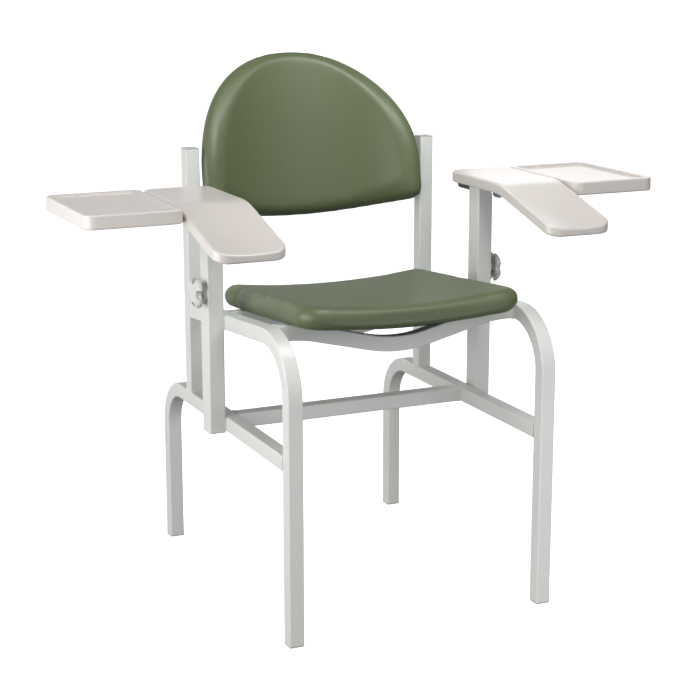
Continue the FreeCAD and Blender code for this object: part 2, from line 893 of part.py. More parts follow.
def arm_drop(y, offset):
    # Fall of the arm's upper line, or of a line the offset below it, in front of the bend.
    slope = math.radians(arm_slope)
    radius = arm_bend_radius - offset
    end = arm_bend_start - radius * math.sin(slope)
    if y >= arm_bend_start:
        return 0
    if y >= end:
        return radius - math.sqrt(radius ** 2 - (arm_bend_start - y) ** 2)
    return radius * (1 - math.cos(slope)) + (end - y) * math.tan(slope)


def arm_top_cutter():
    # The upper face falls in front of the bend and is dished there across the arm.
    rows = []
    y0 = arm_front - overrun
    y1 = arm_rear + overrun
    middle = arm_inner + arm_width / 2
    for i in range(arm_row_count):
        y = y0 + (y1 - y0) * i / (arm_row_count - 1)
        way = min(max((arm_bend_place - y) / (arm_bend_place - arm_front), 0), 1)
        dip = arm_dip * way * way * (3 - 2 * way)
        row = []
        for j in range(arm_column_count):
            across = 2 * j / (arm_column_count - 1) - 1
            x = middle + across * (arm_width / 2 + overrun)
            z = arm_top - arm_drop(y, 0) - dip * (1 - across * across)
            row.append(V(x, y, z))
        rows.append(row)
    surface = Part.BSplineSurface()
    surface.interpolate(rows)
    return surface.toShape().extrude(Z * (arm_width + arm_thickness))


def arm_under_outline():
    slope = math.radians(arm_slope)
    radius = arm_bend_radius - arm_thickness
    start = arm_bend_start
    end = start - radius * math.sin(slope)
    half = start - radius * math.sin(slope / 2)
    x = arm_inner - overrun
    front = arm_front - overrun
    rear = arm_rear + overrun
    ceiling = arm_top + overrun

    def under(y):
        return V(x, y, arm_bottom - arm_drop(y, arm_thickness))

    edges = [
        Part.makeLine(V(x, rear, ceiling), under(rear)),
        Part.makeLine(under(rear), under(start)),
        Part.Arc(under(start), under(half), under(end)).toShape(),
        Part.makeLine(under(end), under(front)),
        Part.makeLine(under(front), V(x, front, ceiling)),
        Part.makeLine(V(x, front, ceiling), V(x, rear, ceiling)),
    ]
    return Part.Wire(edges)


def strap_places():
    return (strap_front_place, strap_rear_place)


def strap_arm_screws():
    x = (strap_inner + strap_screw_inset, arm_outer - strap_seam_inset)
    return [V(sx, y, arm_bottom - strap_sheet) for sx in x for y in strap_places()]


def strap_tray_screws():
    x = (tray_inner + strap_seam_inset, strap_outer - strap_screw_inset)
    return [V(sx, y, arm_bottom - strap_sheet) for sx in x for y in strap_places()]


def arm_support():
    low = arm_bottom - arm_drop(arm_front, 0) - arm_thickness
    plan_centre = V(arm_inner + arm_width / 2, (arm_front + arm_rear) / 2, low)
    outline = rounded_outline(plan_centre, X, Y, arm_width, arm_rear - arm_front, arm_corner)
    block = Part.Face(outline).extrude(Z * (arm_top - low + overrun))
    side = Part.Face(arm_under_outline()).extrude(X * (arm_width + 2 * overrun))
    block = block.common(side).cut(arm_top_cutter())
    rims = edges_on_outline(block, outline, low)
    block = block.makeFillet(arm_edge, rims)
    for place in bracket_screw_places():
        block = block.cut(rod(screw_radius + screw_fit, place,
                              place + Z * (bracket_sheet + screw_grip + screw_fit)))
    for place in strap_arm_screws():
        block = block.cut(rod(screw_radius + screw_fit, place,
                              place + Z * (strap_sheet + screw_grip + screw_fit)))
    return block


# Trays and their straps, left side

def tray():
    x0 = tray_inner
    x1 = tray_inner + tray_width
    low = arm_top - tray_thickness
    centre = V((x0 + x1) / 2, (tray_front + tray_rear) / 2, low)
    length = tray_rear - tray_front
    outline = rounded_outline(centre, X, Y, tray_width, length, tray_corner)
    block = Part.Face(outline).extrude(Z * tray_thickness)
    block = block.makeFillet(tray_edge, edges_on_outline(block, outline, low))
    inner = rounded_outline(centre, X, Y, tray_width - 2 * tray_rim, length - 2 * tray_rim,
                            tray_recess_corner)
    recess = Part.Face(inner).extrude(Z * (tray_recess + overrun))
    foot = [e for e in edges_on_outline(recess, inner, low)
            if e.BoundBox.ZMax < low + tray_recess]
    recess = recess.makeFillet(tray_recess_foot, foot)
    recess.translate(Z * (tray_thickness - tray_recess))
    block = block.cut(recess)
    lip = [e for e in edges_on_outline(block, inner, low) if e.BoundBox.ZMin > arm_top - tray_lip_edge]
    block = block.makeFillet(tray_lip_edge, lip)
    for y in strap_places():
        block = block.cut(strap_block(y, pocket_fit, tray_thickness))
    for place in strap_tray_screws():
        block = block.cut(rod(screw_radius + screw_fit, place,
                              place + Z * (strap_sheet + screw_grip + screw_fit)))
    return block


def strap_block(y, grow, below):
    return plan_block(strap_inner - grow, strap_outer + grow,
                      y - strap_width / 2 - grow, y + strap_width / 2 + grow,
                      arm_bottom - strap_sheet - below, arm_bottom, strap_end_round)


def tray_straps():
    straps = []
    for y in strap_places():
        strap = strap_block(y, 0, 0)
        for place in strap_arm_screws() + strap_tray_screws():
            strap = strap.cut(rod(screw_radius + hole_fit, place - Z * overrun,
                                  place + Z * (strap_sheet + overrun)))
        straps.append(strap)
    return Part.Compound(straps)


def tray_screws():
    pieces = []
    for place in strap_arm_screws() + strap_tray_screws():
        pieces.append(aimed(small_screw(strap_sheet + screw_grip), place, Z))
    return Part.Compound(pieces)


# Clamps, left side

def clamp_axis(x):
    return V(x, column_middle_y, clamp_level)


def clamp_boss():
    # A round boss on an upright plate with rounded corners.
    end = column_outer + boss_length
    boss = rod(boss_radius, clamp_axis(column_outer), clamp_axis(end))
    plate_end = column_outer + boss_plate_sheet
    outline = rounded_outline(clamp_axis(column_outer), Y, Z, boss_plate_width, boss_plate_height,
                              boss_plate_corner)
    plate = Part.Face(outline).extrude(X * boss_plate_sheet)
    rim = [e for e in plate.Edges if e.BoundBox.XMin > plate_end - stud_fit]
    plate = plate.makeFillet(plug_edge, rim)
    boss = boss.fuse(plate).removeSplitter()
    return boss.cut(rod(stud_radius + stud_fit, clamp_axis(column_outer - overrun),
                        clamp_axis(end + overrun)))


def stud_ends():
    inner = post_outer + pad_gap + pad_nose
    hub_face = column_outer + boss_length + knob_hub_gap
    return inner, hub_face + stud_engagement


def clamp_stud():
    inner, outer = stud_ends()
    stud = rod(stud_radius, clamp_axis(inner), clamp_axis(outer))
    pad_end = post_outer + pad_gap + pad_length
    return stud.cut(rod(pad_radius + stud_fit, clamp_axis(inner - overrun),
                        clamp_axis(pad_end + stud_fit)))


def clamp_pad():
    start = post_outer + pad_gap
    return rod(pad_radius, clamp_axis(start), clamp_axis(start + pad_length))


def knob_body(back, front):
    # A disc with a straight rim and a domed front, turned about the clamp's axis.
    def at(radius, x):
        return clamp_axis(x) + Z * radius

    shoulder = back + knob_rim
    crown = Part.Ellipse(at(knob_radius, shoulder), at(knob_face_radius, front),
                         at(knob_face_radius, shoulder))
    dome = Part.ArcOfEllipse(crown, 0, math.pi / 2).toShape()
    edges = [
        Part.makeLine(at(0, back), at(knob_radius, back)),
        Part.makeLine(at(knob_radius, back), at(knob_radius, shoulder)),
        dome,
        Part.makeLine(at(knob_face_radius, front), at(0, front)),
        Part.makeLine(at(0, front), at(0, back)),
    ]
    profile = Part.Face(Part.Wire(Part.sortEdges(edges)[0]))
    body = profile.revolve(clamp_axis(back), X, 360)
    rim = [e for e in body.Edges if e.BoundBox.XMax < back + stud_fit and e.Closed]
    return body.makeFillet(knob_edge, rim)


def clamp_knob():
    hub_face = column_outer + boss_length + knob_hub_gap
    back = hub_face + knob_hub_stand
    front = back + knob_thickness
    body = knob_body(back, front)
    for k in range(knob_lobes):
        turn = 2 * math.pi * k / knob_lobes
        out = V(0, math.sin(turn), math.cos(turn)) * (
            knob_radius - knob_notch_depth + knob_notch_radius)
        body = body.cut(rod(knob_notch_radius, clamp_axis(back - overrun) + out,
                            clamp_axis(front + overrun) + out))
    hollow = rod(knob_hollow_radius, clamp_axis(back - overrun), clamp_axis(back + knob_hollow_depth))
    body = body.cut(hollow)
    hub = rod(knob_hub_radius, clamp_axis(hub_face), clamp_axis(back + knob_hollow_depth))
    body = body.fuse(hub).removeSplitter()
    inner, outer = stud_ends()
    return body.cut(rod(stud_radius + stud_fit, clamp_axis(inner), clamp_axis(outer)))


def save(name, shape):
    shape.exportStep(os.path.join("parts", name + ".step"))


def save_pair(name, shape):
    save(name + "_left", shape)
    save(name + "_right", mirrored(shape))


os.makedirs("parts", exist_ok=True)
save_pair("front_leg_seat_rail", front_leg_seat_rail())
save_pair("rear_leg_lower_rail", rear_leg_lower_rail())
save_pair("back_upright", back_upright())
save("leg_end_plugs", leg_end_plugs())
save("upright_caps", upright_caps())
save("lower_crossbar", lower_crossbar())
save("front_seat_crossbar", seat_crossbar(front_bar_place))
save("rear_seat_crossbar", seat_crossbar(rear_bar_place))
save("seat_board", seat_board())
save("seat_spacers", seat_spacers())
save("seat_screws", seat_screws())
save("seat_cushion", seat_cushion())
save("back_board", back_board())
save("back_tabs", back_tabs())
save("back_screws", back_screws())
save("back_cushion", back_cushion())
save_pair("arm_column", arm_column())
save_pair("column_cap", column_cap())
save_pair("arm_post", arm_post())
save_pair("post_shoe", post_shoe())
save_pair("arm_bracket", arm_bracket())
save_pair("bracket_screws", bracket_screws())
save_pair("arm_support", arm_support())
save_pair("tray", tray())
save_pair("tray_straps", tray_straps())
save_pair("tray_screws", tray_screws())
save_pair("clamp_boss", clamp_boss())
save_pair("clamp_stud", clamp_stud())
save_pair("clamp_pad", clamp_pad())
save_pair("clamp_knob", clamp_knob())
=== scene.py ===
import json
import math

import bmesh
import bpy
import numpy as np
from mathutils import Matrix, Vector


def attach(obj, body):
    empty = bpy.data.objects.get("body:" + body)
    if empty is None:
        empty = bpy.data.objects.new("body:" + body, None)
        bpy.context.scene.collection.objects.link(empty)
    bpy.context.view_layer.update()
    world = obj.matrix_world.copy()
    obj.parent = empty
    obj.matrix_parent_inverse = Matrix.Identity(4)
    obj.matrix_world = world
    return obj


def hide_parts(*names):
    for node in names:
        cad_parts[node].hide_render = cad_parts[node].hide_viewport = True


# Phlebotomy chair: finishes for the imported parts, upholstered cushions, weld beads, light and camera.
# Metres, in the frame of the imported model: X towards the sitter's left, Y to the back, Z up.

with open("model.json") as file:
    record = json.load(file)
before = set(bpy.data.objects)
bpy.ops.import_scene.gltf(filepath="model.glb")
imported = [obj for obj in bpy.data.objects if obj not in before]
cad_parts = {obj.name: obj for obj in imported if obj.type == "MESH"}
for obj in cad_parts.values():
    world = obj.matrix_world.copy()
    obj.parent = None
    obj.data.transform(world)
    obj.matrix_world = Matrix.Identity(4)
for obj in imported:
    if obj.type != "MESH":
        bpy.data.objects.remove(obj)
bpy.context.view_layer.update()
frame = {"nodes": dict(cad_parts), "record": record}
nodes = frame["nodes"]


# Shader maths

class Value:
    # A shader value: arithmetic on it adds Math nodes to its material.
    def __init__(self, shader, socket):
        self.shader = shader
        self.socket = socket

    def maths(self, operation, *inputs):
        return self.shader.node("ShaderNodeMath", {"operation": operation}, dict(enumerate(inputs)))

    def __add__(self, other):
        return self.maths("ADD", self, other)

    def __radd__(self, other):
        return self.maths("ADD", other, self)

    def __sub__(self, other):
        return self.maths("SUBTRACT", self, other)

    def __mul__(self, other):
        return self.maths("MULTIPLY", self, other)

    def __pow__(self, other):
        return self.maths("POWER", self, other)


class Graph:
    # A node tree, with a single method that adds any node.
    def __init__(self, tree):
        self.tree = tree

    def node(self, kind, settings=None, inputs=None, output=0):
        made = self.tree.nodes.new(kind)
        for key, value in (settings or {}).items():
            if key == "stops":
                self.setStops(made.color_ramp, value)
            else:
                setattr(made, key, value)
        for key, value in (inputs or {}).items():
            if isinstance(value, Value):
                self.tree.links.new(value.socket, made.inputs[key])
            else:
                made.inputs[key].default_value = value
        return Value(self, made.outputs[output])

    def setStops(self, ramp, stops):
        while len(ramp.elements) < len(stops):
            ramp.elements.new(0.5)
        for element, (place, level) in zip(ramp.elements, stops):
            element.position = place
            element.color = (level, level, level, 1)

    def place(self, scale=(1, 1, 1)):
        coordinates = self.node("ShaderNodeTexCoord", output="Object")
        return self.node("ShaderNodeMapping", None, {"Vector": coordinates, "Scale": scale})

    def noise(self, place, scale, detail=2.0):
        return self.node("ShaderNodeTexNoise", None, {"Vector": place, "Scale": scale, "Detail": detail})

    def cells(self, place, scale, feature="F1"):
        return self.node("ShaderNodeTexVoronoi", {"feature": feature}, {"Vector": place, "Scale": scale},
                         "Distance")

    def steps(self, value, stops):
        return self.node("ShaderNodeValToRGB", {"stops": stops}, {"Fac": value})

    def mix(self, factor, first, second):
        inputs = {"Factor": factor, "A": first, "B": second}
        made = self.tree.nodes.new("ShaderNodeMix")
        made.data_type = "RGBA"
        for key, value in inputs.items():
            socket = next(s for s in made.inputs if s.name == key and s.enabled)
            if isinstance(value, Value):
                self.tree.links.new(value.socket, socket)
            else:
                socket.default_value = value
        return Value(self, next(s for s in made.outputs if s.enabled))

    def bump(self, height, distance, strength=1.0, below=None):
        inputs = {"Height": height, "Distance": distance, "Strength": strength}
        if below is not None:
            inputs["Normal"] = below
        return self.node("ShaderNodeBump", None, inputs)


class Shader(Graph):
    # A material around one Principled shader.
    def __init__(self, name, constants):
        self.material = bpy.data.materials.new(name)
        self.material.use_nodes = True
        super().__init__(self.material.node_tree)
        self.surface = self.tree.nodes["Principled BSDF"]
        for key, value in constants.items():
            self.surface.inputs[key].default_value = value

    def feed(self, **links):
        names = {"color": "Base Color", "roughness": "Roughness", "normal": "Normal"}
        for key, value in links.items():
            self.tree.links.new(value.socket, self.surface.inputs[names[key]])
        return self.material


def tint(red, green, blue):
    # A colour given as it shows on screen, 0 to 255, turned into the linear values that shaders use.
    shown = np.array([red, green, blue]) / 255
    linear = np.where(shown <= 0.04045, shown / 12.92, ((shown + 0.055) / 1.055) ** 2.4)
    return (*linear.tolist(), 1)


def vary(base, *changes):
    # A base value plus each pattern's swing about its middle, times its spread.
    for pattern, spread in changes:
        base = base + (pattern - 0.5) * spread
    return base


# Finishes

powderCoat = {
    "color": (202, 204, 200), "shade": (198, 200, 196), "roughness": 0.36, "roughnessSpread": 0.10,
    "peelScale": 420.0, "peelHeight": 0.00005, "patchScale": 9.0,
    "speckScale": 966.0, "speckSpread": 0.06,
}


def makePaint():
    look = powderCoat
    s = Shader("powderCoat", {"Coat Roughness": 0.25, "Coat Weight": 0.12, "Specular IOR Level": 0.5})
    place = s.place()
    patches = s.noise(place, look["patchScale"], 3.0)
    specks = s.noise(place, look["speckScale"], 1.0)
    peel = s.noise(place, look["peelScale"], 2.0)
    color = s.mix(patches, tint(*look["shade"]), tint(*look["color"]))
    roughness = vary(look["roughness"], (patches, look["roughnessSpread"]), (specks, look["speckSpread"]))
    return s.feed(color=color, roughness=roughness, normal=s.bump(peel, look["peelHeight"]))


zincPlate = {
    "light": (176, 190, 194), "dark": (118, 132, 136), "roughness": 0.28, "spangleScale": 150.0,
    "streakScale": 900.0, "bumpHeight": 0.00003, "streakStretch": (0.02, 0.05, 1.0), "cloudScale": 38.0,
    "cloudShare": 0.7, "cloudSpread": 0.22, "streakSpread": 0.08,
}


def makeZinc():
    look = zincPlate
    s = Shader("zincPlate", {"Metallic": 1.0})
    spangles = s.cells(s.place(), look["spangleScale"])
    clouds = s.noise(s.place(), look["cloudScale"], 4.0)
    streaks = s.noise(s.place(look["streakStretch"]), look["streakScale"], 2.0)
    patches = clouds * look["cloudShare"] + spangles * (1 - look["cloudShare"])
    color = s.mix(patches, tint(*look["dark"]), tint(*look["light"]))
    roughness = vary(look["roughness"], (clouds, look["cloudSpread"]), (streaks, look["streakSpread"]))
    return s.feed(color=color, roughness=roughness, normal=s.bump(streaks, look["bumpHeight"]))


moulding = {
    "color": (194, 188, 184), "shade": (190, 184, 179), "roughness": 0.30, "grainScale": 1100.0,
    "grainHeight": 0.00001, "toneScale": 6.0, "spread": 0.05,
}


def makeMoulding():
    # Smooth self-skinned foam: a slow change of tone and a very fine leathery tooth.
    look = moulding
    s = Shader("moulding", {"Coat Weight": 0.3, "Coat Roughness": 0.16, "Specular IOR Level": 0.5})
    place = s.place()
    tone = s.noise(place, look["toneScale"], 2.0)
    grain = s.noise(place, look["grainScale"], 2.0)
    color = s.mix(tone, tint(*look["shade"]), tint(*look["color"]))
    roughness = vary(look["roughness"], (tone, look["spread"]), (grain, look["spread"]))
    return s.feed(color=color, roughness=roughness, normal=s.bump(grain, look["grainHeight"]))


plastic = {"cloudScale": 45.0, "grainScale": 1400.0, "cloudSpread": 0.1, "grainSpread": 0.06}
knobPlastic = {
    "color": (196, 198, 194), "shade": (190, 192, 188), "roughness": 0.3, "grainHeight": 0.00002,
}
plugPlastic = {
    "color": (168, 170, 166), "shade": (160, 162, 158), "roughness": 0.46, "grainHeight": 0.00004,
}


def makePlastic(name, look):
    s = Shader(name, {"Specular IOR Level": 0.45})
    place = s.place()
    clouds = s.noise(place, plastic["cloudScale"], 3.0)
    grain = s.noise(place, plastic["grainScale"], 2.0)
    color = s.mix(clouds, tint(*look["shade"]), tint(*look["color"]))
    roughness = vary(look["roughness"], (clouds, plastic["cloudSpread"]), (grain, plastic["grainSpread"]))
    return s.feed(color=color, roughness=roughness, normal=s.bump(grain, look["grainHeight"]))


blackBoard = {
    "dark": (24, 24, 23), "light": (47, 47, 45), "roughness": 0.62, "roughnessSpread": 0.3,
    "squeeze": 0.12, "threadScale": 1100.0, "threadHeight": 0.00015, "cloudScale": 12.0,
}


def makeBoard():
    # Thin black covering on plywood, with a faint woven tooth.
    look = blackBoard
    s = Shader("blackBoard", {"Specular IOR Level": 0.35})
    warp = s.noise(s.place((1.0, look["squeeze"], 1.0)), look["threadScale"], 2.0)
    weft = s.noise(s.place((look["squeeze"], 1.0, 1.0)), look["threadScale"], 2.0)
    clouds = s.noise(s.place(), look["cloudScale"], 4.0)
    weave = warp * 0.5 + weft * 0.5
    color = s.mix(clouds * 0.5 + weave * 0.5, tint(*look["dark"]), tint(*look["light"]))
    roughness = vary(look["roughness"], (weave, look["roughnessSpread"]))
    return s.feed(color=color, roughness=roughness, normal=s.bump(weave, look["threadHeight"]))


vinyl = {
    "color": (82, 93, 63), "deep": (77, 88, 58), "roughness": 0.40, "roughnessSpread": 0.08,
    "grainScale": 620.0, "grainHeight": 0.00007, "creaseScale": 130.0, "creaseHeight": 0.00010,
    "softScale": 7.0, "sheen": 0.04, "toneShares": (0.75, 0.15, 0.1), "poreSpread": 0.08,
    "poreEdge": 0.55, "creaseEdge": 0.2, "creaseStrength": 0.25, "grainStrength": 0.6,
}


def makeVinyl():
    # Smooth upholstery vinyl: fine pebbled grain, faint pores and a slow change of tone.
    look = vinyl
    s = Shader("sageVinyl", {"Sheen Weight": look["sheen"], "Sheen Roughness": 0.5,
                             "Specular IOR Level": 0.5})
    place = s.place()
    bend = s.noise(place, look["creaseScale"], 3.0)
    pebbles = s.cells(place, look["grainScale"])
    folds = s.cells(place, look["creaseScale"], "DISTANCE_TO_EDGE")
    slow = s.noise(place, look["softScale"], 3.0)
    pores = s.steps(pebbles, [(0.0, 0.0), (look["poreEdge"], 1.0)])
    slowShare, poreShare, bendShare = look["toneShares"]
    tone = slow * slowShare + pores * poreShare + bend * bendShare
    color = s.mix(tone, tint(*look["deep"]), tint(*look["color"]))
    roughness = vary(look["roughness"], (slow, look["roughnessSpread"]), (pores, look["poreSpread"]))
    edges = s.steps(folds, [(0.0, 0.0), (look["creaseEdge"], 1.0)])
    creases = s.bump(edges, look["creaseHeight"], look["creaseStrength"])
    grain = s.bump(pebbles, look["grainHeight"], look["grainStrength"], creases)
    return s.feed(color=color, roughness=roughness, normal=grain)


print("finishes")
finish = {
    "frame_paint": makePaint(),
    "zinc": makeZinc(),
    "moulding": makeMoulding(),
    "knob_plastic": makePlastic("knobPlastic", knobPlastic),
    "plug_plastic": makePlastic("plugPlastic", plugPlastic),
    "dark_board": makeBoard(),
    "vinyl": makeVinyl(),
}
for part in frame["record"]["subparts"]:
    material = finish[part["material_slot"]]
    mesh = nodes[part["node"]].data
    if len(mesh.materials) == 0:
        mesh.materials.append(material)
    for index in range(len(mesh.materials)):
        mesh.materials[index] = material


# Surfaces

mergeDistance = 0.00002
tinyLength = 1e-9


def gridMesh(name, points, closedRows=False, closedColumns=True):
    # Joins a rows by columns array of points with four-sided faces, wrapping round where it is closed.
    rows, columns = points.shape[:2]
    row = np.arange(rows if closedRows else rows - 1)
    column = np.arange(columns if closedColumns else columns - 1)
    r, c = np.meshgrid(row, column, indexing="ij")
    nextR = (r + 1) % rows
    nextC = (c + 1) % columns
    faces = np.stack([r * columns + c, r * columns + nextC, nextR * columns + nextC,
                      nextR * columns + c], axis=-1).reshape(-1, 4)
    mesh = bpy.data.meshes.new(name)
    mesh.from_pydata(points.reshape(-1, 3).tolist(), [], faces.tolist())
    return mesh


def addObject(name, mesh):
    piece = bpy.data.objects.new(name, mesh)
    bpy.context.scene.collection.objects.link(piece)
    return piece


def closeUp(piece):
    # Merges the points that fall together and turns every face outwards.
    activate(piece)
    bpy.ops.object.mode_set(mode="EDIT")
    bpy.ops.mesh.select_all(action="SELECT")
    bpy.ops.mesh.remove_doubles(threshold=mergeDistance)
    bpy.ops.mesh.fill_holes(sides=0)
    bpy.ops.mesh.normals_make_consistent(inside=False)
    bpy.ops.object.mode_set(mode="OBJECT")


def activate(piece):
    bpy.ops.object.select_all(action="DESELECT")
    piece.select_set(True)
    bpy.context.view_layer.objects.active = piece


def readPoints(mesh):
    # The places of a mesh's points, as an array of rows of three.
    flat = np.zeros(len(mesh.vertices) * 3, np.float32)
    mesh.vertices.foreach_get("co", flat)
    return flat.reshape(-1, 3).astype(float)


def writePoints(mesh, points):
    mesh.vertices.foreach_set("co", points.astype(np.float32).ravel())
    mesh.update()


def shadeSmooth(mesh):
    mesh.polygons.foreach_set("use_smooth", np.ones(len(mesh.polygons), bool))
    mesh.update()


def spin(angle):
    # The matrix of a turn about X: Y and Z become (cos y - sin z, sin y + cos z).
    c, s = math.cos(angle), math.sin(angle)
    return np.array([[1, 0, 0], [0, c, -s], [0, s, c]])


def turned(points, angle, origin):
    # Points of a tilted frame, turned about X and then moved to its origin.
    return points @ spin(angle).T + np.array(origin)


def unturned(points, angle, origin):
    # The same the other way: places in the chair as points of a tilted frame.
    return (points - np.array(origin)) @ spin(angle)


# Weld beads, in the corners where one painted tube meets another

weld = {
    "radius": 0.0014, "ripple": 0.16, "wave": 0.0021, "step": 0.0006, "sides": 8, "inset": 0.0005,
    "arcPoints": 8, "linePoints": 40, "tip": 0.0001,
    "sideFace": 0.233, "outerFace": 0.261, "tube": 0.028, "corner": 0.003, "railTop": 0.342,
    "lowerBar": -0.006, "seatBars": (-0.2075, 0.014), "uprightFront": 0.162, "legRear": -0.303,
    "column": (-0.031, 0.009), "plateFace": 0.292, "plate": (-0.011, 0.576), "plateSize": (0.023, 0.040),
    "plateCorner": 0.009, "seatLevel": 0.5318, "seatPitch": math.radians(-4.6),
}


def roundedRing(width, height, corner):
    # A closed rectangle with round corners, as rows of two coordinates round its own middle.
    quarter = np.linspace(0, math.pi / 2, weld["arcPoints"])
    arcs = []
    for k, (su, sv) in enumerate([(1, 1), (-1, 1), (-1, -1), (1, -1)]):
        turn = quarter + k * math.pi / 2
        arcs.append(np.column_stack([su * (width / 2 - corner) + corner * np.cos(turn),
                                     sv * (height / 2 - corner) + corner * np.sin(turn)]))
    return np.vstack(arcs)


def bead(path, closed):
    # A rippled round rod along a path: radius times (1 + ripple * sin(2 pi * length / wave)),
    # drawn in to nothing at the ends of a path that is open.
    w = weld
    line = np.vstack([path, path[:1]]) if closed else path
    length = np.concatenate([[0], np.cumsum(np.linalg.norm(np.diff(line, axis=0), axis=1))])
    count = int(length[-1] / w["step"])
    places = np.linspace(0, length[-1], count, endpoint=not closed)
    spots = np.column_stack([np.interp(places, length, line[:, k]) for k in range(3)])
    along = np.gradient(spots, axis=0)
    if closed:
        along = np.roll(spots, -1, axis=0) - np.roll(spots, 1, axis=0)
    along /= np.linalg.norm(along, axis=1, keepdims=True)
    size = w["radius"] * (1 + w["ripple"] * np.sin(2 * math.pi * places / w["wave"]))
    if not closed:
        size *= np.clip(np.minimum(places, length[-1] - places) / w["radius"], w["tip"], 1) ** 0.5
    # The two directions across the path are held steady by the one that the path never takes.
    steady = np.eye(3)[np.argmin(np.abs(along).max(axis=0))]
    first = np.cross(along, steady)
    first /= np.linalg.norm(first, axis=1, keepdims=True)
    second = np.cross(along, first)
    turn = np.linspace(0, 2 * math.pi, w["sides"], endpoint=False)
    return (spots[:, None] + size[:, None, None] * (first[:, None] * np.cos(turn)[None, :, None]
                                                    + second[:, None] * np.sin(turn)[None, :, None]))


def inSeatPlane(points):
    # Points whose Z is the height over the tops of the seat rails, tilted with the rails.
    return turned(points, weld["seatPitch"], (0, 0, weld["seatLevel"]))


def sidePaths(side):
    # Every bead path on one side of the chair; side is 1 for the sitter's left.
    w = weld
    half = w["tube"] / 2
    ring = roundedRing(w["tube"], w["tube"], w["corner"])
    face = np.full(len(ring), side * (w["sideFace"] - w["inset"]))
    lowerRing = np.column_stack([face, ring[:, 0] + w["lowerBar"], ring[:, 1] + w["railTop"] - half])
    paths = [(lowerRing, True)]
    for place in w["seatBars"]:
        paths.append((inSeatPlane(np.column_stack([face, ring[:, 0] + place, ring[:, 1] - half])), True))
    inner, outer = w["sideFace"] + w["corner"], w["outerFace"] - w["corner"]
    across = np.linspace(inner, outer, w["linePoints"]) * side
    level = np.ones(w["linePoints"])

    def over(y, z):
        return np.column_stack([across, level * y, level * z])

    for y in (w["uprightFront"] - w["inset"], w["uprightFront"] + w["tube"] + w["inset"]):
        paths.append((over(y, w["railTop"] + w["inset"]), False))
    for z in (w["railTop"] + w["inset"], w["railTop"] - w["tube"] - w["inset"]):
        paths.append((over(w["legRear"] + w["inset"], z), False))
    for z in (w["inset"], -w["tube"] - w["inset"]):
        spot = inSeatPlane(np.array([[0, w["uprightFront"], z]]))[0]
        paths.append((over(w["uprightFront"] - w["inset"], spot[2]), False))
    beside = side * (w["outerFace"] + w["inset"])
    for y in w["column"]:
        edge = y + math.copysign(w["inset"], y + w["column"][1])
        seatTop = inSeatPlane(np.array([[0, y, 0]]))[0][2]
        for top in (w["railTop"], seatTop):
            z = np.linspace(top - w["tube"] + w["corner"], top - w["corner"], w["linePoints"])
            paths.append((np.column_stack([level * beside, level * edge, z]), False))
    plate = roundedRing(*w["plateSize"], w["plateCorner"])
    paths.append((np.column_stack([np.full(len(plate), side * (w["plateFace"] + w["inset"])),
                                   plate[:, 0] + w["plate"][0], plate[:, 1] + w["plate"][1]]), True))
    return paths


def makeWelds():
    joined = bmesh.new()
    for side in (1, -1):
        for path, closed in sidePaths(side):
            joined.from_mesh(gridMesh("bead", bead(path, closed), closedRows=closed))
    mesh = bpy.data.meshes.new("weldBeads")
    joined.to_mesh(mesh)
    joined.free()
    piece = addObject("weldBeads", mesh)
    closeUp(piece)
    shadeSmooth(piece.data)
    piece.data.materials.append(finish["frame_paint"])
    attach(piece, "frame")


# Cushions

pad = {
    "voxel": 0.005, "pressure": 4.0, "steps": 20, "quality": 4, "stiffness": 40, "bending": 6,
    "smoothing": 9, "boardGap": 0.0028, "rimSteps": 24, "arcPoints": 24,
}


def outwardRing(outline):
    # Unit normals of a closed outline that runs anticlockwise, from the points on either side.
    along = np.roll(outline, -1, axis=0) - np.roll(outline, 1, axis=0)
    normal = np.stack([along[:, 1], -along[:, 0]], axis=1)
    return normal / np.linalg.norm(normal, axis=1, keepdims=True)


def evenly(outline, count):
    # The same closed outline with its points spaced evenly along it.
    closed = np.vstack([outline, outline[:1]])
    length = np.concatenate([[0], np.cumsum(np.linalg.norm(np.diff(closed, axis=0), axis=1))])
    wanted = np.linspace(0, length[-1], count, endpoint=False)
    return np.stack([np.interp(wanted, length, closed[:, k]) for k in range(2)], axis=1)


def roundedPlan(x0, x1, y0, y1, cornerLow, cornerHigh):
    # A rectangle with quarter circles at its corners, their radii given for the low and high Y end.
    quarter = np.linspace(0, math.pi / 2, pad["arcPoints"])
    corners = [(x1 - cornerLow, y0 + cornerLow, cornerLow, -math.pi / 2),
               (x1 - cornerHigh, y1 - cornerHigh, cornerHigh, 0),
               (x0 + cornerHigh, y1 - cornerHigh, cornerHigh, math.pi / 2),
               (x0 + cornerLow, y0 + cornerLow, cornerLow, math.pi)]
    arcs = []
    for cx, cy, radius, start in corners:
        turn = quarter + start
        arcs.append(np.stack([cx + radius * np.cos(turn), cy + radius * np.sin(turn)], axis=1))
    return np.vstack(arcs)


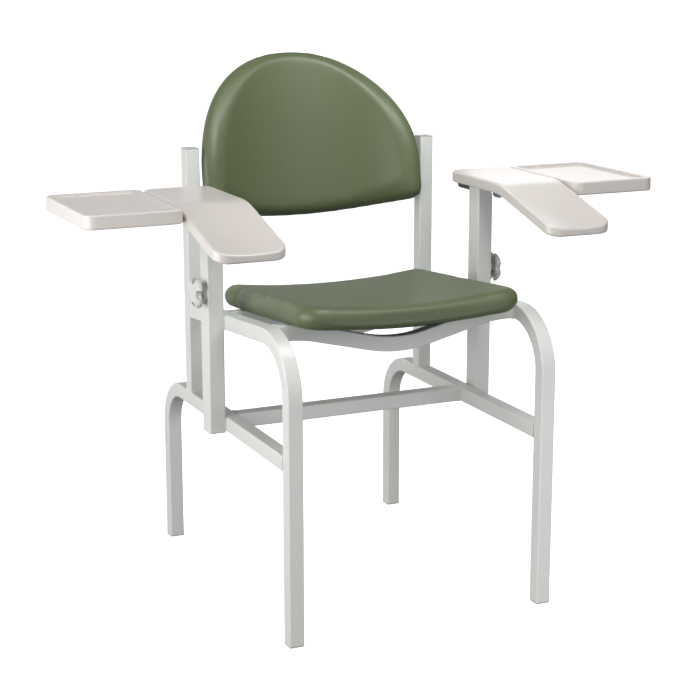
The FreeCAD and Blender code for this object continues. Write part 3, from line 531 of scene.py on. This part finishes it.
def inflate(piece, cap, keep):
    # Swells the pad like cloth under pressure, moves no point further than the cap and leaves still
    # what keep, a share for each point, holds.
    activate(piece)
    piece.data.remesh_voxel_size = pad["voxel"]
    bpy.ops.object.voxel_remesh()
    before = readPoints(piece.data)
    cloth = piece.modifiers.new("swell", "CLOTH")
    cloth.settings.use_pressure = True
    cloth.settings.uniform_pressure_force = pad["pressure"]
    cloth.settings.quality = pad["quality"]
    cloth.settings.tension_stiffness = pad["stiffness"]
    cloth.settings.compression_stiffness = pad["stiffness"]
    cloth.settings.bending_stiffness = pad["bending"]
    cloth.settings.effector_weights.gravity = 0
    cloth.point_cache.frame_start = 1
    cloth.point_cache.frame_end = pad["steps"]
    for step in range(1, pad["steps"] + 1):
        bpy.context.scene.frame_set(step)
    bpy.ops.object.modifier_apply(modifier=cloth.name)
    bpy.context.scene.frame_set(1)
    swollen = readPoints(piece.data)
    shift = swollen - before
    size = np.linalg.norm(shift, axis=1, keepdims=True)
    shift = shift * np.minimum(1, cap / np.maximum(size, tinyLength)) * (1 - keep(before))[:, None]
    writePoints(piece.data, before + shift)
    smooth = piece.modifiers.new("ease", "SMOOTH")
    smooth.factor = 0.5
    smooth.iterations = pad["smoothing"]
    bpy.ops.object.modifier_apply(modifier=smooth.name)
    finer = piece.modifiers.new("finer", "SUBSURF")
    finer.levels = 1
    finer.render_levels = 1
    bpy.ops.object.modifier_apply(modifier=finer.name)
    shadeSmooth(piece.data)


def stretch(points, node, shape, axes):
    # Draws the points out along the given axes of the cushion's own frame, until they reach as far as
    # the solid that they dress.
    solid = nodes[node]
    turn = np.array(solid.matrix_world)
    reach = unturned(readPoints(solid.data) @ turn[:3, :3].T + turn[:3, 3], *shape)
    for k in axes:
        low, high = points[:, k].min(), points[:, k].max()
        share = (points[:, k] - low) / (high - low)
        points[:, k] = reach[:, k].min() + share * (reach[:, k].max() - reach[:, k].min())
    return points


def finishCushion(piece, node):
    # Covers a cushion in vinyl and puts it in the place of its solid.
    piece.data.materials.clear()
    piece.data.materials.append(finish["vinyl"])
    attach(piece, "frame")
    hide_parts(node)


seat = {
    "level": 0.5318, "pitch": math.radians(-4.6), "halfWidth": 0.215, "front": -0.305, "rear": 0.114,
    "frontCorner": 0.050, "rearCorner": 0.035, "edgeRadius": 0.0215, "edgeLevel": 0.016, "dish": 0.0125,
    "sag": 0.0095, "boardSide": 0.030, "boardEnd": 0.026, "boardCorner": 0.030, "around": 240,
    "boardSag": 0.0145, "boardThickness": 0.010, "start": 0.0022, "cap": 0.0042, "stillDepth": 0.010,
    "topRings": 25, "pocketRings": 20, "fill": 0.75, "tuckDrop": 0.5,
    "tucks": [
        {"place": (-0.215, 0.034), "width": 0.009, "depth": 0.0028},
        {"place": (0.215, 0.045), "width": 0.009, "depth": 0.0022},
    ],
}


def seatCurve(x, depth):
    # Fall towards the middle of the chair: a parabola across it, as deep as the depth.
    half = seat["halfWidth"] - seat["edgeRadius"]
    return depth * np.clip(1 - (x / half) ** 2, 0, 1)


def seatPoints():
    # From the middle of the top outwards, over the round rim, under to the board's edge, up its
    # side and back to the middle above the board, at each of the places round the plan outline.
    s = seat
    plan = evenly(roundedPlan(-s["halfWidth"], s["halfWidth"], s["front"], s["rear"],
                              s["frontCorner"], s["rearCorner"]), s["around"])
    normal = outwardRing(plan)
    middle = np.array([0, (s["front"] + s["rear"]) / 2])
    inner = plan - normal * s["edgeRadius"]
    radius = s["edgeRadius"] - s["start"]
    level = s["edgeLevel"]
    rings = []
    for share in np.linspace(0, 1, s["topRings"], endpoint=False):
        flat = middle + (inner - middle) * share
        rings.append(np.column_stack([flat, level + radius - seatCurve(flat[:, 0], s["dish"])]))
    for turn in np.linspace(math.pi / 2, -math.pi / 2, pad["rimSteps"]):
        flat = inner + normal * radius * math.cos(turn)
        dish = seatCurve(flat[:, 0], s["dish"]) * max(math.sin(turn), 0)
        sag = seatCurve(flat[:, 0], s["sag"]) * max(-math.sin(turn), 0)
        rings.append(np.column_stack([flat, level + radius * math.sin(turn) - dish - sag]))
    gap = pad["boardGap"]
    boardHalf = s["halfWidth"] - s["boardSide"] + gap
    board = evenly(roundedPlan(-boardHalf, boardHalf, s["front"] + s["boardEnd"] - gap,
                               s["rear"] - s["boardEnd"] + gap, s["boardCorner"], s["boardCorner"]),
                   s["around"])
    low = level - radius - seatCurve(board[:, 0], s["sag"])
    lowest = s["edgeLevel"] - s["edgeRadius"] - s["sag"]
    ceiling = lowest + s["boardSag"] - seatCurve(board[:, 0], s["boardSag"]) + s["boardThickness"] + gap
    rings.append(np.column_stack([board, low]))
    rings.append(np.column_stack([board, (low + ceiling) / 2]))
    for share in np.linspace(1, 0, s["pocketRings"]):
        flat = middle + (board - middle) * share
        top = lowest + s["boardSag"] - seatCurve(flat[:, 0], s["boardSag"]) + s["boardThickness"] + gap
        rings.append(np.column_stack([flat, top]))
    return np.stack(rings)


def makeSeatCushion():
    origin = (0, 0, seat["level"])
    grid = seatPoints()
    points = turned(grid.reshape(-1, 3), seat["pitch"], origin).reshape(grid.shape)
    piece = addObject("seatCushion", gridMesh("seatCushion", points))
    closeUp(piece)

    def keep(spots):
        # Still under the seat, where the foam lies on the board and the bars.
        local = unturned(spots, seat["pitch"], origin)
        still = seat["edgeLevel"] - seat["stillDepth"]
        return np.clip((still - local[:, 2]) / seat["stillDepth"], 0, 1)

    inflate(piece, seat["cap"], keep)
    local = unturned(readPoints(piece.data), seat["pitch"], origin)
    local = stretch(local, "seat_cushion", (seat["pitch"], origin), (0, 1))
    for tuck in seat["tucks"]:
        # A soft valley across the rim: depth times exp(-(distance along the rim / width) squared),
        # fading out over the top within three edge radii and towards the underside.
        x, y = tuck["place"]
        valley = np.exp(-((local[:, 1] - y) / tuck["width"]) ** 2)
        near = np.clip(1 - np.abs(local[:, 0] - x) / (3 * seat["edgeRadius"]), 0, 1)
        high = np.clip((local[:, 2] - seat["edgeLevel"] + seat["edgeRadius"]) / seat["edgeRadius"], 0, 1)
        pull = tuck["depth"] * valley * near * high
        local[:, 0] -= math.copysign(1, x) * pull
        local[:, 2] -= pull * seat["tuckDrop"]
    writePoints(piece.data, turned(local, seat["pitch"], origin))
    finishCushion(piece, "seat_cushion")


back = {
    "lean": math.radians(-9), "place": 0.1585, "level": 0.750, "bendRadius": 0.269, "halfWidth": 0.2283,
    "edgeRadius": 0.0225, "spring": 0.0129, "top": 0.2482, "bottom": -0.0762, "bottomRise": 0.017,
    "corner": 0.025, "domePower": 2.1, "boardSide": 0.022, "boardTop": 0.026, "boardBottom": 0.026,
    "boardThickness": 0.010, "start": 0.0022, "cap": 0.0042, "stillDepth": 0.008, "middle": 0.08,
    "around": 320, "frontRings": 29, "pocketRings": 24, "domePoints": 400, "cornerPoints": 40,
    "bowPoints": 200, "fill": 0.7,
}


def backOutline(count):
    # The outline on the flattened sheet: a dome above the spring line, straight sides, round
    # corners and a bottom edge that bows down to its middle.
    b = back
    turn = np.linspace(0, math.pi, b["domePoints"])
    power = 2 / b["domePower"]
    domeX = b["halfWidth"] * np.sign(np.cos(turn)) * np.abs(np.cos(turn)) ** power
    domeZ = b["spring"] + (b["top"] - b["spring"]) * np.sin(turn) ** power
    flat = b["halfWidth"] - b["corner"]
    foot = b["bottom"] + b["bottomRise"]
    quarter = np.linspace(0, math.pi / 2, b["cornerPoints"])
    leftX = -flat - b["corner"] * np.cos(quarter)
    leftZ = foot + b["corner"] - b["corner"] * np.sin(quarter)
    bowX = np.linspace(-flat, flat, b["bowPoints"])
    bowZ = b["bottom"] + b["bottomRise"] * (bowX / flat) ** 2
    x = np.concatenate([domeX, leftX, bowX, -leftX[::-1]])
    z = np.concatenate([domeZ, leftZ, bowZ, leftZ[::-1]])
    rim = np.minimum(b["edgeRadius"], np.abs(x))
    along = np.sign(x) * (b["bendRadius"] * np.arcsin((np.abs(x) - rim) / b["bendRadius"]) + rim)
    return evenly(np.column_stack([along, z]), count)


def bent(along, out, z):
    # A place on the sheet bent round an upright axis, and how far it stands off the sheet.
    b = back
    middle = b["halfWidth"] - b["edgeRadius"]
    centre = -math.sqrt(b["bendRadius"] ** 2 - middle ** 2)
    turn = along / b["bendRadius"]
    reach = b["bendRadius"] + out
    return np.column_stack([reach * np.sin(turn), centre + reach * np.cos(turn), z])


def backPoints():
    # From the middle of the front outwards, round the rim, over the back to the board's edge,
    # into its pocket and back to the middle, at each of the places round the outline.
    b = back
    count = b["around"]
    outline = backOutline(count)
    normal = outwardRing(outline)
    middle = np.array([0, b["middle"]])
    inner = outline - normal * b["edgeRadius"]
    radius = b["edgeRadius"] - b["start"]
    rings = []
    for share in np.linspace(0, 1, b["frontRings"], endpoint=False):
        flat = middle + (inner - middle) * share
        rings.append(bent(flat[:, 0], np.full(count, -radius), flat[:, 1]))
    for turn in np.linspace(-math.pi / 2, math.pi / 2, pad["rimSteps"]):
        flat = inner + normal * radius * math.cos(turn)
        rings.append(bent(flat[:, 0], np.full(count, radius * math.sin(turn)), flat[:, 1]))
    gap = pad["boardGap"]
    board = inner.copy()
    skin = b["bendRadius"] + b["edgeRadius"]
    half = b["halfWidth"] - b["edgeRadius"] - b["boardSide"] / 2
    edge = b["bendRadius"] * math.asin(half / skin) + gap
    board[:, 0] = np.clip(board[:, 0], -edge, edge)
    low = b["bottom"] + b["boardBottom"] - gap
    board[:, 1] = np.clip(board[:, 1], low, b["top"] - b["boardTop"] + gap)
    depth = b["edgeRadius"] - b["boardThickness"] - gap
    rings.append(bent(board[:, 0], np.full(count, radius), board[:, 1]))
    rings.append(bent(board[:, 0], np.full(count, (radius + depth) / 2), board[:, 1]))
    for share in np.linspace(1, 0, b["pocketRings"]):
        flat = middle + (board - middle) * share
        rings.append(bent(flat[:, 0], np.full(count, depth), flat[:, 1]))
    return np.stack(rings)


def makeBackCushion():
    origin = (0, back["place"], back["level"])
    grid = backPoints()
    points = turned(grid.reshape(-1, 3), back["lean"], origin).reshape(grid.shape)
    piece = addObject("backCushion", gridMesh("backCushion", points))
    closeUp(piece)

    def keep(spots):
        # Still behind the sheet's middle, where the vinyl is drawn over the board.
        local = unturned(spots, back["lean"], origin)
        middle = back["halfWidth"] - back["edgeRadius"]
        centre = -math.sqrt(back["bendRadius"] ** 2 - middle ** 2)
        out = np.hypot(local[:, 0], local[:, 1] - centre) - back["bendRadius"]
        return np.clip(out / back["stillDepth"], 0, 1)

    inflate(piece, back["cap"], keep)
    local = unturned(readPoints(piece.data), back["lean"], origin)
    local = stretch(local, "back_cushion", (back["lean"], origin), (0, 2))
    writePoints(piece.data, turned(local, back["lean"], origin))
    finishCushion(piece, "back_cushion")


print("weld beads")
makeWelds()

print("cushions")
makeSeatCushion()
makeBackCushion()


# Light, floor and camera

studio = {
    "floor": (250, 250, 250), "shade": (248, 248, 248), "floorGlow": 0.7, "wallGlow": 1.05,
    "wallRadius": 14.0, "wallHeight": 20.0, "wallSides": 96, "hubShare": 0.0001, "fibreScale": 240.0,
    "lobes": [
        {"aim": (0, -1, 0), "power": 2, "strength": 0.53},
        {"aim": (0, -1, 0.7), "power": 4, "strength": 0.44},
        {"aim": (0.6, -0.5, 0.7), "power": 4, "strength": 0.76},
        {"aim": (0, 1, 0), "power": 2, "strength": 0.38},
        {"aim": (-0.25, 0.96, 0.1), "power": 10, "strength": 0.95},
        {"aim": (-1, 0, 0.1), "power": 10, "strength": 3.7},
    ],
    "lights": [
        {"name": "sideLight", "place": (-1.05, -0.3, 0.65), "aim": (0, -0.05, 0.5), "size": 0.7,
         "watts": 4.7, "color": (1, 1, 1)},
        {"name": "overLight", "place": (-0.4, -1.2, 3.8), "aim": (0, 0, 0.4), "size": 1.6,
         "watts": 36, "color": (1, 1, 1)},
        {"name": "fillLight", "place": (0.1, -0.35, 1.45), "aim": (0, 0.1, 0.92), "size": 0.4,
         "watts": 4.8, "color": (1, 1, 1)},
        {"name": "backLight", "place": (1.7, 1.7, 1.5), "aim": (0.3, 0, 0.7), "size": 1.0,
         "watts": 5.0, "color": (1, 1, 1)},
        {"name": "legLight", "place": (0.62, -0.78, 0.25), "aim": (0.26, -0.33, 0.25), "size": 0.2,
         "watts": 0.44, "color": (0.93, 0.97, 1)},
        {"name": "lowLight", "place": (0.25, -0.95, 0.12), "aim": (0.15, 0, 0.3), "size": 0.3,
         "watts": 1.2, "color": (0.93, 0.97, 1)},
    ],
}

view = {
    "place": (-1.34392, -2.95269, 1.21889), "tilt": 13.566, "turn": 24.546, "lens": 90.02, "sensor": 36.0,
}


def makeStage():
    # A flat floor inside a tall round wall, both pale and faintly lit from within. Only the camera
    # sees them, so the light on the chair comes from the lights and the world alone.
    sides = studio["wallSides"]
    turn = np.linspace(0, 2 * math.pi, sides, endpoint=False)
    ring = np.column_stack([np.cos(turn), np.sin(turn)]) * studio["wallRadius"]
    places = {"studioFloor": [(studio["hubShare"], 0), (1, 0)],
              "studioWall": [(1, 0), (1, studio["wallHeight"])]}
    for name, rims in places.items():
        points = np.stack([np.column_stack([ring * share, np.full(sides, height)])
                           for share, height in rims])
        piece = addObject(name, gridMesh(name, points))
        glow = studio["floorGlow"] if name == "studioFloor" else studio["wallGlow"]
        s = Shader(name, {"Roughness": 0.9, "Specular IOR Level": 0.1,
                          "Emission Color": (1, 1, 1, 1), "Emission Strength": glow})
        fibre = s.noise(s.place(), studio["fibreScale"], 3.0)
        color = s.mix(fibre, tint(*studio["shade"]), tint(*studio["floor"]))
        piece.data.materials.append(s.feed(color=color))
        piece.visible_diffuse = False
        piece.visible_glossy = False
        piece.visible_transmission = False
        piece.visible_shadow = False


def makeLight(entry):
    lamp = bpy.data.lights.new(entry["name"], "AREA")
    lamp.size = entry["size"]
    lamp.energy = entry["watts"]
    lamp.color = entry["color"]
    light = addObject(entry["name"], lamp)
    light.visible_camera = False
    light.location = entry["place"]
    aim = Vector(entry["aim"]) - Vector(entry["place"])
    light.rotation_euler = aim.to_track_quat("-Z", "Y").to_euler()


def makeWorld():
    # Soft light from all round: each lobe is strongest the way it aims, and fades as a power of
    # the cosine of the angle from there.
    world = bpy.data.worlds.new("studio")
    world.use_nodes = True
    g = Graph(world.node_tree)
    heading = g.node("ShaderNodeTexCoord", output="Generated")
    total = None
    for lobe in studio["lobes"]:
        aim = tuple(Vector(lobe["aim"]).normalized())
        facing = g.node("ShaderNodeVectorMath", {"operation": "DOT_PRODUCT"}, {0: heading, 1: aim},
                        "Value")
        level = facing.maths("MAXIMUM", facing, 0.0) ** lobe["power"] * lobe["strength"]
        total = level if total is None else total + level
    background = world.node_tree.nodes["Background"]
    world.node_tree.links.new(total.socket, background.inputs["Strength"])
    background.inputs["Color"].default_value = (1, 1, 1, 1)
    bpy.context.scene.world = world


def makeCamera():
    lens = bpy.data.cameras.new("camera")
    lens.sensor_width = view["sensor"]
    lens.lens = view["lens"]
    camera = addObject("camera", lens)
    camera.location = view["place"]
    camera.rotation_euler = (math.radians(90 - view["tilt"]), 0, -math.radians(view["turn"]))
    bpy.context.scene.camera = camera


print("light and camera")
makeStage()
for entry in studio["lights"]:
    makeLight(entry)
makeWorld()
makeCamera()
bpy.context.scene.view_settings.view_transform = "Standard"

print("done")
